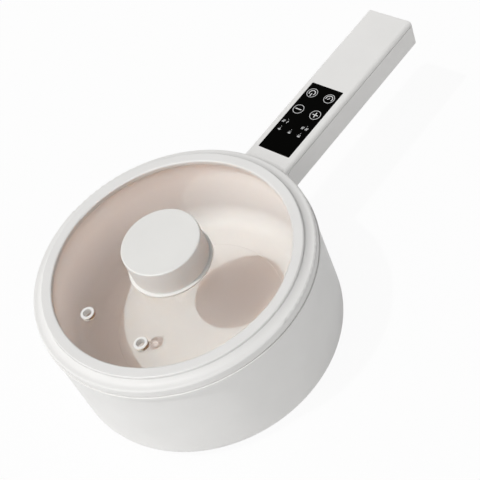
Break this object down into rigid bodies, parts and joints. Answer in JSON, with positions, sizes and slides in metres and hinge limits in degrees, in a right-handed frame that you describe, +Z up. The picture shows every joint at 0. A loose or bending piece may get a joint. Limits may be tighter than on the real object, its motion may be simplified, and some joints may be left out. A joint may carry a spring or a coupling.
{
  "type": "electric hot pot",
  "caption": "Round countertop electric cooking pot with a long hollow side handle, black touch panel, non-stick inner pot and lift-off glass lid with a disc knob.",
  "frame": {"origin": "centre of the foot ring's flat underside, on the table, under the middle of the pot", "axes": "+Z up out of the pot's mouth, +X out along the handle"},
  "size_m": [0.3428, 0.1916, 0.106],
  "materials": {
    "base_plastic": "fine grained moulded plastic",
    "screw_steel": "zinc plated steel",
    "fuse_ceramic": "ceramic tube with end caps",
    "chip_black": "moulded epoxy",
    "gland_rubber": "grey moulded rubber",
    "bracket_steel": "galvanised sheet",
    "terminal_ceramic": "ceramic beads with steel tabs",
    "capacitor_case": "ochre moulded case",
    "foot_rubber": "grey moulded rubber",
    "handle_plastic": "satin moulded white plastic",
    "shield_steel": "aluminised sheet",
    "lead_white": "braided high temperature sleeve",
    "element_sheath": "dull metal sheath",
    "cast_aluminium": "cast aluminium",
    "led_epoxy": "clear epoxy",
    "pot_coating": "aluminium pot with a light ceramic coating",
    "knob_plastic": "satin moulded white plastic",
    "brass_insert": "knurled brass",
    "knob_pad_rubber": "white silicone",
    "lid_glass": "clear tempered glass",
    "lid_rim_plastic": "satin moulded white plastic",
    "lid_seal_rubber": "translucent white silicone",
    "diffuser_plastic": "milky light guide",
    "lead_brown": "insulated conductor",
    "lead_blue": "insulated conductor",
    "body_plastic": "satin moulded plastic, slightly translucent white",
    "stud_steel": "threaded steel studs",
    "circuit_board": "green solder mask",
    "relay_case": "blue moulded case",
    "ribbon_grey": "flat grey cable",
    "lead_grey": "insulated pair",
    "spring_steel": "spring wire",
    "sensor_cap": "spun aluminium cap",
    "cutout_case": "small metal can",
    "panel_black": "glossy black film on clear plastic",
    "eyelet_plastic": "glossy white plastic",
    "terminal_green": "green moulded terminal"
  },
  "bodies": {
    "cooker": {"base_cover": "base_plastic", "base_screws": "screw_steel", "board_fuse": "fuse_ceramic", "board_screws": "screw_steel", "control_chip": "chip_black", "cord_gland": "gland_rubber", "cutout_clip": "bracket_steel", "element_terminals": "terminal_ceramic", "filter_capacitor": "capacitor_case", "foot_ring": "foot_rubber", "handle_base": "handle_plastic", "handle_bracket": "bracket_steel", "handle_screws": "screw_steel", "heat_shield": "shield_steel", "heater_lead_left": "lead_white", "heater_lead_right": "lead_white", "heating_element": "element_sheath", "heating_plate": "cast_aluminium", "indicator_leds": "led_epoxy", "inner_pot": "pot_coating", "light_guide": "diffuser_plastic", "mains_lead_live": "lead_brown", "mains_lead_neutral": "lead_blue", "outer_shell": "body_plastic", "pot_ring": "bracket_steel", "pot_studs": "stud_steel", "power_board": "circuit_board", "relay": "relay_case", "ribbon_cable": "ribbon_grey", "root_screws": "screw_steel", "sensor_lead": "lead_grey", "sensor_spring": "spring_steel", "stud_nuts": "stud_steel", "temperature_sensor": "sensor_cap", "thermal_cutout": "cutout_case", "top_cover": "handle_plastic", "touch_board": "circuit_board", "touch_panel": "panel_black", "touch_springs": "spring_steel", "wire_terminal": "terminal_green"},
    "lid": {"lid_glass": "lid_glass", "lid_rim": "lid_rim_plastic", "lid_seal": "lid_seal_rubber", "lid_knob": "knob_plastic", "knob_insert": "brass_insert", "knob_flange": "knob_plastic", "knob_pad": "knob_pad_rubber", "knob_lower_pad": "knob_pad_rubber", "knob_washer": "screw_steel", "knob_screw": "screw_steel", "vent_eyelet_left": "eyelet_plastic", "vent_eyelet_right": "eyelet_plastic"}
  },
  "joints": [
    {"name": "lid_lift", "type": "slide", "parent": "cooker", "child": "lid", "axis": [0, 0, 1], "range_m": [0, 0.12]}
  ]
}
